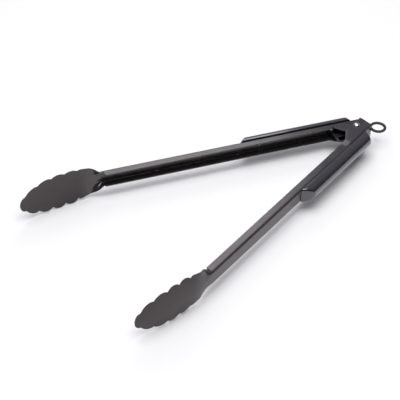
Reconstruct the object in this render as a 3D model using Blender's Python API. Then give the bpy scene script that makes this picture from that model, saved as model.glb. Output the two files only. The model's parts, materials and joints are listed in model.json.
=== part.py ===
"""Spring loaded kitchen tongs, lying on their side with the pivot axis upright.

Each arm is one folded steel sheet: a channel along the handle, two flat plates at the pivot and
a dished, scalloped head. The near arm's plates close over the far arm's. A rivet joins them, a
torsion spring on it holds them open, and a slide with a pull ring runs along the far arm and hooks
behind a tongue in each web when the closed tongs are locked.

Arm coordinates: x runs from the pivot axis to the tip, "out" is the distance from the arm's centre
line away from the other arm, and z is up, with 0 at the middle of the sheet's height.
"""

import math

import bmesh
import bpy
import numpy as np
from mathutils import Matrix

GAP = 0.0003

# Arms
OPEN_ANGLE = math.radians(33.6)
REACH = 0.3994
SHEET = 0.0012
HALF_HEIGHT = 0.00835
CHANNEL_DEPTH = 0.0097
BEND_RADIUS = 0.0024
WEB_FACE = 0.0133
REAR_END = -0.012
REAR_SLANT = 0.0041
PLATE_DEPTH = 0.0179
PLATE_FULL = 0.0165
PLATE_START = 0.0320
NOTCH = ((0.0290, 0.0020), (0.0276, 0.0065), (0.0256, 0.0065), (0.0155, -0.0056), (0.0290, -0.0056))
PLATE_CORNER = {"far_arm": 0.0036, "near_arm": 0.0016}
JOGGLE = {"far_arm": 0.0, "near_arm": SHEET + GAP + 0.00005}
JOGGLE_SPAN = (0.030, 0.042)
CHANNEL_END = 0.300
FLANGE_STEP = 0.0025
UNFOLDED = 0.319

# Head: cusps between the lobes as (distance from pivot, half width of the sheet laid flat)
CUSPS = ((0.3310, 0.0189), (0.3462, 0.0199), (0.3613, 0.0195), (0.3779, 0.0167), (0.3926, 0.0095))
LOBE_RISE = 0.0033
SHOULDER_ROUND = (0.0055, 0.0026)
CURL_START = 0.294
CURL_RADIUS = 0.263
HEAD_FOLD = (math.radians(20), math.radians(13))
HEAD_FOLD_SPAN = (0.331, 0.376)
HEAD_SPREAD = 0.0215
SPREAD_NARROWS = (0.355, 0.4015)
TIP_WIDTH = 0.0003

# Pivot
RIVET_RADIUS = 0.0020
RIVET_HEAD_RADIUS = 0.0038
RIVET_HEAD_RISE = 0.0020
RIVET_TAIL = (0.0033, 0.0014)
PIVOT_HOLE = RIVET_RADIUS + GAP
SLEEVE = (RIVET_RADIUS + GAP, 0.0028)
SPOOL = (0.0031, 0.0036)
SPACER_RADIUS = 0.0058
WASHER_RADIUS = 0.0048
WASHER_SHEET = 0.0006

# Torsion spring
WIRE = 0.0014
COIL_RADIUS = 0.0046
COIL_PITCH = 0.0015
LEG_END = 0.0195

# Lock
SLIDE_SHEET = 0.0010
SLIDE_TRAVEL = 0.008
SLIDE_BODY = 0.0055
SLIDE_NECK = 0.0035
SLIDE_TAIL = 0.0029
SLIDE_HOOK = (0.020, 0.025, 0.028)
HOOK_REACH = {1: (0.0088, 0.0102), -1: (0.0099, 0.0111)}
TONGUE_SPAN = (0.0090, 0.0160)
TONGUE_OUT = 0.0073
TONGUE_HEIGHT = (-0.0030, 0.0008)
RING_CENTRE = 0.0284
RING_OUTER = 0.0099
RING_BAND = 0.0031
RING_HALF_THICKNESS = 0.0012
RING_EDGE = 0.0006
TAIL_IN_RING = 0.0012

# Grips
GRIP_SPAN = (0.0015, 0.1385)
GRIP_HALF_HEIGHT = 0.0094
GRIP_SIDE = 0.0020
GRIP_CROWN = 0.0092
GRIP_END_SLOPES = (0.38, -0.85)
GRIP_END_ROUND = 0.0032
CARRIER_SPAN = (0.012, 0.124)
CARRIER_HALF_HEIGHT = 0.0055
CARRIER_SHEET = 0.0025
GRIP_RIVETS = {"front": 0.1155, "rear": 0.024}
GRIP_RIVET_RADIUS = 0.0015
GRIP_RIVET_HEAD = (0.0030, 0.0012)

COATED = ((0.045, 0.043, 0.046), 0.38, 0.6)
SOFT_GRIP = ((0.060, 0.057, 0.066), 0.35, 0.0)
NYLON = ((0.030, 0.030, 0.030), 0.5, 0.0)
STEEL = ((0.60, 0.60, 0.61), 0.25, 1.0)
SPRING_STEEL = ((0.42, 0.42, 0.43), 0.3, 1.0)
RING_PLASTIC = ((0.035, 0.035, 0.037), 0.4, 0.0)
GRIP_RIVET_FINISH = {"front": COATED, "rear": STEEL}


def smooth(value):
    x = np.clip(value, 0.0, 1.0)
    return x * x * (3 - 2 * x)


def clear_scene():
    for obj in list(bpy.data.objects):
        bpy.data.objects.remove(obj, do_unlink=True)


def material(name, finish):
    colour, roughness, metallic = finish
    made = bpy.data.materials.new(name)
    made.use_nodes = True
    shader = made.node_tree.nodes["Principled BSDF"]
    shader.inputs["Base Color"].default_value = (*colour, 1.0)
    shader.inputs["Roughness"].default_value = roughness
    shader.inputs["Metallic"].default_value = metallic
    return made


def place(name, data, finish, parent):
    obj = bpy.data.objects.new(name, data)
    obj.data.materials.append(material(name, finish))
    obj.parent = parent
    bpy.context.scene.collection.objects.link(obj)
    return obj


def solid(name, points, faces, finish, parent):
    mesh = bpy.data.meshes.new(name)
    mesh.from_pydata([tuple(p) for p in np.asarray(points, float)], [], [tuple(f) for f in faces])
    work = bmesh.new()
    work.from_mesh(mesh)
    bmesh.ops.recalc_face_normals(work, faces=work.faces)
    work.to_mesh(mesh)
    work.free()
    mesh.shade_smooth()
    mesh.set_sharp_from_angle(angle=math.radians(35))
    return place(name, mesh, finish, parent)


def frame_empty(name, turn, parent=None):
    empty = bpy.data.objects.new(name, None)
    empty.rotation_euler = (0, 0, turn)
    empty.parent = parent
    bpy.context.scene.collection.objects.link(empty)
    return empty


def boolean(obj, cutter, operation="DIFFERENCE"):
    cutter.hide_render = True
    cutter.display_type = "WIRE"
    cut = obj.modifiers.new(cutter.name, "BOOLEAN")
    cut.operation = operation
    cut.solver = "EXACT"
    cut.object = cutter


def merged(name, pieces, parent):
    """One object holding several separate bodies, each kept where its own object stood."""
    work = bmesh.new()
    for piece in pieces:
        piece.data.transform(Matrix.LocRotScale(piece.location, piece.rotation_euler, None))
        work.from_mesh(piece.data)
        bpy.data.objects.remove(piece)
    mesh = bpy.data.meshes.new(name)
    work.to_mesh(mesh)
    work.free()
    obj = bpy.data.objects.new(name, mesh)
    obj.parent = parent
    bpy.context.scene.collection.objects.link(obj)
    return obj


def box(name, low, high, finish, parent):
    corners = [(x, y, z) for x in (low[0], high[0]) for y in (low[1], high[1]) for z in (low[2], high[2])]
    faces = ((0, 1, 3, 2), (4, 6, 7, 5), (0, 4, 5, 1), (2, 3, 7, 6), (0, 2, 6, 4), (1, 5, 7, 3))
    return solid(name, corners, faces, finish, parent)


def prism(name, outline, low, high, finish, parent):
    """Extrudes a flat outline of (x, y) points upright from low to high."""
    count = len(outline)
    points = [(x, y, z) for z in (low, high) for x, y in outline]
    faces = [tuple(range(count)), tuple(range(count, 2 * count))]
    faces += [(i, (i + 1) % count, (i + 1) % count + count, i + count) for i in range(count)]
    return solid(name, points, faces, finish, parent)


def lathe(name, profile, finish, parent, segments=24, closed=False):
    """Turns (radius, height) points about z. A closed profile makes a tube, an open one starts and
    ends on the axis, where its two ends are single points."""
    profile = np.asarray(profile, float)
    angles = np.linspace(0, 2 * math.pi, segments, endpoint=False)
    rings = profile if closed else profile[1:-1]
    points = [(r * math.cos(a), r * math.sin(a), z) for r, z in rings for a in angles]
    rows = len(rings)
    steps = rows if closed else rows - 1
    faces = []
    for row in range(steps):
        for k in range(segments):
            n = (k + 1) % segments
            a = row * segments
            b = (row + 1) % rows * segments
            faces.append((a + k, a + n, b + n, b + k))
    if not closed:
        bottom = len(points)
        points += [(0, 0, profile[0][1]), (0, 0, profile[-1][1])]
        last = (rows - 1) * segments
        for k in range(segments):
            n = (k + 1) % segments
            faces.append((bottom, n, k))
            faces.append((bottom + 1, last + k, last + n))
    return solid(name, points, faces, finish, parent)


def arc(centre, radius, start, end, count):
    angles = np.linspace(math.radians(start), math.radians(end), count)
    return [(centre[0] + radius * math.cos(a), centre[1] + radius * math.sin(a)) for a in angles]


# --- Arms -------------------------------------------------------------------------------------


def lobe(x, start, end, rise):
    """Half width along one lobe: the chord between two cusps plus a circular arc's height."""
    (x0, w0), (x1, w1) = start, end
    chord = x1 - x0
    radius = chord * chord / (8 * rise) + rise / 2
    along = x - x0
    arc_height = np.sqrt(np.maximum(radius**2 - (along - chord / 2) ** 2, 0)) - (radius - rise)
    return w0 + (w1 - w0) * along / chord + arc_height


def share(x, span):
    """How far x is through the span, from 0 to 1."""
    return np.clip((x - span[0]) / (span[1] - span[0]), 0, 1)


def shoulder(x, start):
    """Half width from the channel's end: a straight edge, then a quarter ellipse into the first cusp."""
    cusp_x, cusp_half = CUSPS[0]
    length, rise = SHOULDER_ROUND
    straight = start + (cusp_half + rise - start) * share(x, (CHANNEL_END, cusp_x))
    return straight - rise * (1 - np.sqrt(1 - share(x, (cusp_x - length, cusp_x)) ** 2))


def joggle(x, name):
    """How far the plates stand outside the channel's height, so that one pair closes over the other."""
    return JOGGLE[name] * (1 - smooth(share(x, JOGGLE_SPAN)))


def flat_half_width(x, name):
    """Half width of the sheet laid flat at each distance from the pivot."""
    straight = HALF_HEIGHT - BEND_RADIUS
    bend = (BEND_RADIUS - SHEET / 2) * math.pi / 2
    channel = straight + bend + CHANNEL_DEPTH - BEND_RADIUS
    plate = straight + bend + PLATE_DEPTH - BEND_RADIUS
    width = np.full_like(x, channel)
    width += (plate - channel) * (1 - share(x, (PLATE_FULL, PLATE_START)))
    corner = PLATE_CORNER[name]
    into_corner = np.clip(REAR_END + corner - x, 0, corner)
    width -= corner - np.sqrt(corner**2 - into_corner**2)
    width += joggle(x, name)
    width = np.where(x > CHANNEL_END, shoulder(x, channel - FLANGE_STEP), width)
    for start, end in zip(CUSPS, CUSPS[1:]):
        width = np.where(x > start[0], lobe(x, start, end, LOBE_RISE), width)
    tip_start, tip_half = CUSPS[-1]
    along = np.clip((x - tip_start) / (REACH - tip_start), 0, 1)
    return np.where(x > tip_start, np.maximum(tip_half * np.sqrt(1 - along**2), TIP_WIDTH), width)


def arm_stations():
    """Distances from the pivot at which the sheet's section is worked out."""
    rounded = REAR_END + PLATE_CORNER["far_arm"]
    spans = [(REAR_END, rounded, 4), (rounded, PLATE_FULL, 2)]
    spans += [(PLATE_FULL, JOGGLE_SPAN[0], 1), (JOGGLE_SPAN[0], PLATE_START, 1)]
    spans += [(PLATE_START, JOGGLE_SPAN[1], 4), (JOGGLE_SPAN[1], CHANNEL_END - 0.0001, 3)]
    edges = [CHANNEL_END] + [cusp[0] for cusp in CUSPS]
    spans += [(a, b, 9 if a == CHANNEL_END else 6) for a, b in zip(edges, edges[1:])]
    parts = [np.linspace(a, b, count, endpoint=False) for a, b, count in spans]
    turn = np.linspace(0, math.pi / 2, 7)
    tip = CUSPS[-1][0] + (REACH - CUSPS[-1][0]) * np.sin(turn)
    return np.concatenate(parts + [tip])


def arm_surface(name, stations, counts=(2, 3, 2)):
    """Middle surface of an arm's sheet, as points[station, across] of (x, out, z).

    Across the sheet the direction turns by the fold angle between the start and the end of the
    bend, so a short bend gives the channel's corner and a bend over the whole width the dish.
    """
    x = stations[:, None]
    half = flat_half_width(stations, name)[:, None]
    opened = smooth(share(x, (CHANNEL_END, UNFOLDED)))
    fold = math.pi / 2 + (HEAD_FOLD[0] - math.pi / 2) * opened
    fold += (HEAD_FOLD[1] - HEAD_FOLD[0]) * smooth(share(x, HEAD_FOLD_SPAN))
    spread = HEAD_SPREAD * np.sqrt(np.clip(1 - share(x, SPREAD_NARROWS) ** 2, 0.01, 1))
    straight = HALF_HEIGHT - BEND_RADIUS + joggle(x, name)
    bend = (BEND_RADIUS - SHEET / 2) * math.pi / 2
    bend_start = straight * (1 - opened)
    bend_end = (straight + bend) * (1 - opened) + spread * opened
    knots = [np.zeros_like(x)]
    knots.append(straight * (1 - opened) + 0.36 * half * opened)
    knots.append((straight + bend) * (1 - opened) + 0.7 * half * opened)
    knots.append(half)
    columns = [knots[0]]
    for low, high, count in zip(knots, knots[1:], counts):
        columns += [low + (high - low) * step / count for step in range(1, count + 1)]
    s = np.concatenate(columns, axis=1)
    turn_rate = fold / (bend_end - bend_start)
    in_bend = np.clip(s - bend_start, 0, bend_end - bend_start)
    past = np.maximum(s - bend_end, 0)
    z = np.minimum(s, bend_start) + np.sin(turn_rate * in_bend) / turn_rate + past * np.cos(fold)
    depth = (1 - np.cos(turn_rate * in_bend)) / turn_rate + past * np.sin(fold)
    curl = np.clip(x - CURL_START, 0, None)
    drop = CURL_RADIUS - np.sqrt(CURL_RADIUS**2 - curl**2)
    out = WEB_FACE - SHEET / 2 - drop - depth
    slant = REAR_SLANT * depth / PLATE_DEPTH * np.clip(x / REAR_END, 0, 1)
    half_side = np.stack([x - slant, out, z], axis=-1)
    other_side = half_side[:, :0:-1] * (1, 1, -1)
    return np.concatenate([other_side, half_side], axis=1)


def sheet_solid(surface, thickness):
    """Points and faces of a closed solid: the surface moved half a thickness each way, with walls."""
    along = np.gradient(surface, axis=0)
    across = np.gradient(surface, axis=1)
    normal = np.cross(across, along)
    normal /= np.linalg.norm(normal, axis=-1, keepdims=True)
    points = np.stack([surface + normal * thickness / 2, surface - normal * thickness / 2])
    rows, columns = surface.shape[:2]
    index = np.arange(2 * rows * columns).reshape(2, rows, columns)
    faces = []
    for side in index:
        corners = (side[:-1, :-1], side[1:, :-1], side[1:, 1:], side[:-1, 1:])
        faces.append(np.stack(corners, axis=-1).reshape(-1, 4))
    border = np.concatenate(
        [index[:, 0, :], index[:, 1:, -1], index[:, -1, -2::-1], index[:, -2:0:-1, 0]], axis=1
    )
    after = np.roll(border, -1, axis=1)
    faces.append(np.stack([border[0], after[0], after[1], border[1]], axis=-1))
    return points.reshape(-1, 3), np.concatenate(faces)


def tongue_outline():
    """The lock tongue in (x, out): lanced from the web, stepping inward and then forward."""
    start, end = TONGUE_SPAN
    inside = WEB_FACE - SHEET / 2
    return [
        (start, inside),
        (start, TONGUE_OUT),
        (end, TONGUE_OUT),
        (end, TONGUE_OUT + SHEET),
        (start + SHEET, TONGUE_OUT + SHEET),
        (start + SHEET, inside),
    ]


def cylinder(name, radius, reach, frame, segments=24):
    """A cutter about z that reaches the same distance both ways."""
    profile = [(0, -reach), (radius, -reach), (radius, reach), (0, reach)]
    return lathe(name, profile, COATED, frame, segments)


def rivet_hole_cutters(name, side, frame):
    cutters = []
    for place_name, x in GRIP_RIVETS.items():
        hole = cylinder(name + "_hole_" + place_name, GRIP_RIVET_RADIUS + GAP, 0.005, frame, 16)
        hole.location = (x, side * WEB_FACE, 0)
        hole.rotation_euler = (math.pi / 2, 0, 0)
        cutters.append(hole)
    return cutters


def make_arm(name, side, frame):
    """The folded sheet with its pivot holes, grip rivet holes, lock tongue and lanced window."""
    points, faces = sheet_solid(arm_surface(name, arm_stations()), SHEET)
    arm = solid(name, points * (1, side, 1), faces, COATED, frame)
    reach = 2 * HALF_HEIGHT
    cutters = [cylinder(name + "_pivot_hole", PIVOT_HOLE, reach, frame)]
    cutters += rivet_hole_cutters(name, side, frame)
    low = (TONGUE_SPAN[0] + SHEET + GAP, side * WEB_FACE - 0.003, TONGUE_HEIGHT[0])
    high = (TONGUE_SPAN[1] + GAP, side * WEB_FACE + 0.003, TONGUE_HEIGHT[1])
    cutters.append(box(name + "_window", low, high, COATED, frame))
    if name == "far_arm":
        notch = [(x, side * out) for x, out in NOTCH]
        cutters.append(prism(name + "_notch", notch, HALF_HEIGHT / 2, reach, COATED, frame))
    boolean(arm, merged(name + "_cutter", cutters, frame))
    outline = [(x, side * out) for x, out in tongue_outline()]
    tongue = prism(name + "_tongue", outline, *TONGUE_HEIGHT, COATED, frame)
    boolean(arm, tongue, "UNION")
    return arm


# --- Grips ------------------------------------------------------------------------------------


def grip_section(count=15):
    """Half round section as (height above the web, z), from one base corner to the other."""
    angles = np.linspace(-math.pi / 2, math.pi / 2, count)
    crown = [(GRIP_SIDE + GRIP_CROWN * math.cos(a), GRIP_HALF_HEIGHT * math.sin(a)) for a in angles]
    return [(0, -GRIP_HALF_HEIGHT)] + crown + [(0, GRIP_HALF_HEIGHT)]


def round_ends(grip, count):
    """Rounds the edge round each end face, but not the part of it that lies on the web."""
    weights = grip.data.attributes.new("bevel_weight_edge", "FLOAT", "EDGE")
    for edge in grip.data.edges:
        first, second = sorted(edge.vertices)
        if second == first + 1 and second % count:
            weights.data[edge.index].value = 1.0
    bevel = grip.modifiers.new("rounded_ends", "BEVEL")
    bevel.width = GRIP_END_ROUND
    bevel.segments = 3
    bevel.limit_method = "WEIGHT"


def make_grip(name, side, frame):
    """The soft half round cover, with a sloping end towards the head and a pocket for its carrier."""
    base = WEB_FACE + GAP
    section = grip_section()
    ends = []
    for x, slope in zip(GRIP_SPAN, GRIP_END_SLOPES):
        ends += [(x + slope * up, side * (base + up), z) for up, z in section]
    count = len(section)
    faces = [tuple(range(count)), tuple(range(count, 2 * count))]
    faces += [(i, (i + 1) % count, (i + 1) % count + count, i + count) for i in range(count)]
    grip = solid(name, ends, faces, SOFT_GRIP, frame)
    round_ends(grip, count)
    pocket = carrier_box(name + "_pocket_cutter", side, frame, GAP, 0.002)
    boolean(grip, pocket)
    return grip


def carrier_box(name, side, frame, margin, below):
    """The carrier's block, or with a margin the pocket round it, reaching below the web's face."""
    base = WEB_FACE + GAP
    outs = sorted((side * (base - below), side * (base + CARRIER_SHEET + margin)))
    low = (CARRIER_SPAN[0] - margin, outs[0], -CARRIER_HALF_HEIGHT - margin)
    high = (CARRIER_SPAN[1] + margin, outs[1], CARRIER_HALF_HEIGHT + margin)
    return box(name, low, high, NYLON, frame)


def make_carrier(name, side, frame):
    carrier = carrier_box(name, side, frame, 0, 0)
    boolean(carrier, merged(name + "_cutter", rivet_hole_cutters(name, side, frame), frame))
    return carrier


def make_grip_rivet(name, side, frame, x, finish):
    """Pan head inside the channel, shank through the web into the carrier."""
    head_radius, head_height = GRIP_RIVET_HEAD
    inner_face = WEB_FACE - SHEET - GAP
    shank_end = WEB_FACE + GAP + CARRIER_SHEET - inner_face - GAP
    profile = [(0, -head_height), (0.6 * head_radius, -head_height)]
    profile += [(head_radius, -0.45 * head_height), (head_radius, 0)]
    profile += [(GRIP_RIVET_RADIUS, 0), (GRIP_RIVET_RADIUS, shank_end), (0, shank_end)]
    rivet = lathe(name, profile, finish, frame, segments=16)
    rivet.location = (x, side * inner_face, 0)
    rivet.rotation_euler = (-side * math.pi / 2, 0, 0)
    return rivet


# --- Pivot ------------------------------------------------------------------------------------


def plate_outside():
    return HALF_HEIGHT + JOGGLE["near_arm"]


def make_pivot_rivet(frame):
    """Domed head above, shank through all four plates, and an upset tail over the washer."""
    top = plate_outside() + GAP
    tail = -plate_outside() - 2 * GAP - WASHER_SHEET
    half_chord = RIVET_HEAD_RADIUS
    dome_radius = (half_chord**2 + RIVET_HEAD_RISE**2) / (2 * RIVET_HEAD_RISE)
    start = math.degrees(math.asin(half_chord / dome_radius))
    dome = arc((0, top + RIVET_HEAD_RISE - dome_radius), dome_radius, 90 - start, 90, 7)
    upset, rise = RIVET_TAIL
    profile = [(0, tail - rise), (upset - 0.0011, tail - rise), (upset, tail - 0.4 * rise), (upset, tail)]
    profile += [(RIVET_RADIUS, tail), (RIVET_RADIUS, top)]
    profile += dome[:-1] + [(0, top + RIVET_HEAD_RISE)]
    return lathe("pivot_rivet", profile, STEEL, frame, segments=28)


def tube(name, inner, outer, low, high, finish, frame):
    profile = [(inner, low), (outer, low), (outer, high), (inner, high)]
    return lathe(name, profile, finish, frame, closed=True)


def make_pivot_stack(frame):
    inside = HALF_HEIGHT - SHEET - GAP
    slide_face = SLIDE_SHEET / 2 + GAP
    tube("pivot_sleeve", *SLEEVE, -inside, inside, STEEL, frame)
    tube("spring_spool", *SPOOL, slide_face, inside, NYLON, frame)
    tube("lower_spacer", SPOOL[0], SPACER_RADIUS, -inside, -slide_face, NYLON, frame)
    low = -plate_outside() - GAP - WASHER_SHEET
    tube("tail_washer", PIVOT_HOLE, WASHER_RADIUS, low, low + WASHER_SHEET, STEEL, frame)


def spring_path():
    """Route of the wire about the pivot, in the far arm's frame with out towards +y: along the far
    web to the coil, round it, and out along the near web."""
    leg_out = WEB_FACE - SHEET - GAP - WIRE / 2
    low = SLIDE_SHEET / 2 + 2 * GAP + WIRE / 2
    far_end = complex(LEG_END, leg_out)
    lean = math.asin(COIL_RADIUS / abs(far_end))
    far_turn = math.atan2(leg_out, LEG_END) - lean + math.pi / 2
    near_turn = -OPEN_ANGLE - math.atan2(leg_out, LEG_END) + lean - math.pi / 2
    sweep = far_turn - near_turn
    sweep = 4 * math.pi - (2 * math.pi - sweep) if sweep > 0 else sweep
    angles = far_turn - np.linspace(0, sweep, 56)
    height = low + COIL_PITCH * np.linspace(0, sweep, 56) / (2 * math.pi)
    coil = np.stack([COIL_RADIUS * np.cos(angles), COIL_RADIUS * np.sin(angles), height], axis=-1)
    near_end = far_end.conjugate() * complex(math.cos(-OPEN_ANGLE), math.sin(-OPEN_ANGLE))
    far_leg = [(far_end.real, far_end.imag, low)]
    near_leg = [(near_end.real, near_end.imag, height[-1])]
    return np.concatenate([far_leg, coil, near_leg])


def wire_object(name, path, thickness, finish, frame):
    curve = bpy.data.curves.new(name, "CURVE")
    curve.dimensions = "3D"
    curve.bevel_depth = thickness / 2
    curve.bevel_resolution = 2
    curve.use_fill_caps = True
    spline = curve.splines.new("POLY")
    spline.points.add(len(path) - 1)
    spline.points.foreach_set("co", np.column_stack([path, np.ones(len(path))]).ravel())
    return place(name, curve, finish, frame)


# --- Lock -------------------------------------------------------------------------------------


def slide_outline():
    """Flat outline of the lock slide about the far arm's centre line, y away from the near arm."""
    joint = math.degrees(math.asin(SLIDE_TAIL / SLIDE_BODY))
    tail = -RING_CENTRE + RING_OUTER - RING_BAND + TAIL_IN_RING
    hook_tip, hook_back, front = SLIDE_HOOK
    shoulder = SLIDE_TRAVEL + 0.001
    sides = []
    for side in (1, -1):
        inner, outer = HOOK_REACH[side]
        run = [(tail, SLIDE_TAIL)] + arc((0, 0), SLIDE_BODY, 180 - joint, 90, 6)
        run += [(shoulder, SLIDE_BODY), (shoulder + 0.004, SLIDE_NECK), (hook_back, SLIDE_NECK)]
        run += [(hook_back, inner), (hook_tip, inner), (hook_tip, outer), (front, outer)]
        sides.append([(x, side * y) for x, y in run])
    return sides[0] + sides[1][::-1]


def make_lock_slide(frame, side):
    outline = [(x, side * y) for x, y in slide_outline()]
    slide = prism("lock_slide", outline, -SLIDE_SHEET / 2, SLIDE_SHEET / 2, COATED, frame)
    half = SPOOL[0]
    slot = arc((0, 0), half, 90, 270, 9) + arc((SLIDE_TRAVEL, 0), half, -90, 90, 9)
    boolean(slide, prism("slide_slot_cutter", slot, -0.002, 0.002, STEEL, frame))
    return slide


def make_pull_ring(frame):
    """A round-edged band with a pocket that takes the slide's tail."""
    edge = RING_EDGE
    low, high = RING_OUTER - RING_BAND, RING_OUTER
    top = RING_HALF_THICKNESS
    profile = [(low, -top + edge), (low + edge, -top), (high - edge, -top), (high, -top + edge)]
    profile += [(high, top - edge), (high - edge, top), (low + edge, top), (low, top - edge)]
    ring = lathe("pull_ring", profile, RING_PLASTIC, frame, segments=36, closed=True)
    ring.location = (-RING_CENTRE, 0, 0)
    tail = -RING_CENTRE + RING_OUTER - RING_BAND + TAIL_IN_RING - GAP
    half = SLIDE_TAIL + GAP
    height = SLIDE_SHEET / 2 + GAP
    pocket = box(
        "ring_pocket_cutter", (tail, -half, -height), (-0.010, half, height), RING_PLASTIC, frame
    )
    boolean(ring, pocket)
    return ring


def stand_on_base(root):
    """Moves everything so that the origin is below the middle, on the surface it lies on."""
    bpy.context.view_layer.update()
    graph = bpy.context.evaluated_depsgraph_get()
    corners = []
    for obj in bpy.context.scene.objects:
        if obj.type == "EMPTY" or obj.hide_render:
            continue
        evaluated = obj.evaluated_get(graph)
        mesh = evaluated.to_mesh()
        corners += [evaluated.matrix_world @ vertex.co for vertex in mesh.vertices]
        evaluated.to_mesh_clear()
    corners = np.array(corners)
    low, high = corners.min(axis=0), corners.max(axis=0)
    root.location = (-(low[0] + high[0]) / 2, -(low[1] + high[1]) / 2, -low[2])


def main():
    clear_scene()
    root = frame_empty("tongs_frame", 0)
    sides = {"far": (-1, math.pi - OPEN_ANGLE / 2), "near": (1, math.pi + OPEN_ANGLE / 2)}
    frames = {}
    for name, (side, turn) in sides.items():
        frame = frame_empty(name + "_arm_axis", turn, root)
        frames[name] = frame
        make_arm(name + "_arm", side, frame)
        make_grip(name + "_grip", side, frame)
        make_carrier(name + "_grip_carrier", side, frame)
        for place_name, x in GRIP_RIVETS.items():
            finish = GRIP_RIVET_FINISH[place_name]
            make_grip_rivet(name + "_grip_rivet_" + place_name, side, frame, x, finish)
    far = frames["far"]
    make_pivot_rivet(far)
    make_pivot_stack(far)
    path = spring_path() * (1, -1, 1)
    wire_object("torsion_spring", path, WIRE, SPRING_STEEL, far)
    make_lock_slide(far, -1)
    make_pull_ring(far)
    stand_on_base(root)


main()
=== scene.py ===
"""Spring loaded kitchen tongs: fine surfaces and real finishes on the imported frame.

Arm coordinates: x runs from the pivot axis to the tip, "out" is the distance from the arm's centre
line away from the other arm, and z is up from the middle of the sheet's height. Sizes are in metres.
"""

import json
import math

import bmesh
import bpy
import numpy as np
from bpy.props import FloatProperty, PointerProperty, StringProperty
from mathutils import Matrix, Vector


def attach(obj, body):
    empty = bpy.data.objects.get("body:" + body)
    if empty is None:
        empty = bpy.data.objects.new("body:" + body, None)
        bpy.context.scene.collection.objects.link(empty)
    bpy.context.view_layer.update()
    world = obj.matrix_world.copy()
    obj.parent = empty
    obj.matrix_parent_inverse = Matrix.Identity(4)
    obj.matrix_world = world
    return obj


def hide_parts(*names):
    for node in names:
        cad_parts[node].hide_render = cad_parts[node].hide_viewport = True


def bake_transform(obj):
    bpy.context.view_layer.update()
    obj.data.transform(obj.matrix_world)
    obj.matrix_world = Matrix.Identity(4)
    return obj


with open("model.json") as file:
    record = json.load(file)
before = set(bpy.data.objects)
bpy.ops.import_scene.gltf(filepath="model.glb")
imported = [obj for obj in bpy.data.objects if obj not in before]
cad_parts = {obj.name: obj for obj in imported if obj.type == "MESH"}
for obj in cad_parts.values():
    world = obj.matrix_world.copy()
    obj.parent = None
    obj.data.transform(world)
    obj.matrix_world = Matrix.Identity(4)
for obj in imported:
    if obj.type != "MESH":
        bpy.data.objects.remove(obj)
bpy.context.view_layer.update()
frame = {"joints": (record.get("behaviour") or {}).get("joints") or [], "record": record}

bl_info = {
    "name": "Spring Loaded Tongs",
    "version": (1, 0, 0),
    "blender": (4, 5, 0),
    "location": "View3D > Sidebar > Tongs",
    "description": "Builds kitchen tongs with folded steel arms, a sprung pivot and a pull ring lock",
    "category": "Object",
}

JOINTS = {joint["name"]: joint for joint in frame["joints"]}
PIVOT = np.array(JOINTS["arm_pivot"]["pos_m"])
SIDES = {"far": -1, "near": 1}
GAP = 0.0003
PLATE_CLEARANCE = GAP + 0.00005
CREASE = math.radians(38)
SMALL_BEVEL = 0.00012
RIM_SHARE = 0.4
CUTTER_REACH = 0.003

# Arm outline, from the part's own sizes
REAR_END = -0.012
REAR_SLANT = 0.0041
PLATE_DEPTH = 0.0179
PLATE_FULL = 0.0165
PLATE_START = 0.0320
PLATE_CORNER = {"far": 0.0036, "near": 0.0016}
NOTCH = ((0.0290, 0.0020), (0.0276, 0.0065), (0.0256, 0.0065), (0.0155, -0.0056), (0.0290, -0.0056))
JOGGLE_SPAN = (0.030, 0.042)
CHANNEL_END = 0.300
FLANGE_STEP = 0.0025
UNFOLDED = 0.319
CUSPS = ((0.3310, 0.0189), (0.3462, 0.0199), (0.3613, 0.0195), (0.3779, 0.0167), (0.3926, 0.0095))
SHOULDER_ROUND = (0.0055, 0.0026)
HEAD_FOLD_SPAN = (0.331, 0.376)
HEAD_SPREAD = 0.0215
SPREAD_NARROWS = (0.355, 0.4015)
TIP_WIDTH = 0.0003
TONGUE_SPAN = (0.0090, 0.0160)
TONGUE_OUT = 0.0073
TONGUE_HEIGHT = (-0.0030, 0.0008)
GRIP_END_SLOPES = (0.38, -0.85)
CARRIER_SPAN = (0.012, 0.124)
CARRIER_HALF_HEIGHT = 0.0055
CARRIER_SHEET = 0.0025
GRIP_RIVETS = {"front": 0.1155, "rear": 0.024}
SLEEVE = (0.0023, 0.0028)
SPOOL = (0.0031, 0.0036)
SPACER_RADIUS = 0.0058
WASHER = (0.0048, 0.0006)
SLIDE_HOOK = (0.020, 0.025, 0.028)
HOOK_REACH = {1: (0.0088, 0.0102), -1: (0.0099, 0.0111)}
SLIDE_WIDTHS = {"body": 0.0055, "neck": 0.0035, "tail": 0.0029}
TAIL_IN_RING = 0.0012
RING_CORNER = 0.0008
RING_POCKET_END = -0.010
SLIDE_SHOULDER = (0.001, 0.004)
GRIP_RIVET_RISE = 0.0012
CAP_CENTRE = 0.42
POCKET_BELOW = 0.002
CARRIER_CUTTER_REACH = 0.008
UPSET = (
    (0.0001, -0.0014), (0.0018, -0.0014), (0.0026, -0.0012),
    (0.0031, -0.0008), (0.0033, -0.0004), (0.0033, 0.0),
)

# Stage
FLOOR_HALF = 6.0
OVERHEAD_SOFTBOX = (-0.2, -0.2, 2.0)
OVERHEAD_SIZE = 1.8
REAR_SOFTBOX = (0.38, 0.60, 0.66)
REAR_SIZE = 0.4
REAR_TARGET = (0, 0, 0.02)
VIEW_CENTRE = (-0.221811, 0.005438, 0)


# --- Settings -----------------------------------------------------------------------------------


def length(name, description, default):
    return FloatProperty(name=name, description=description, default=default, unit="LENGTH", precision=5)


def colour(name, description, default):
    return StringProperty(name=name, description=description + ", as sRGB hex", default=default)


def amount(name, description, default):
    return FloatProperty(name=name, description=description, default=default, min=0, max=1)


def number(name, description, default):
    return FloatProperty(name=name, description=description, default=default)


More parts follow.
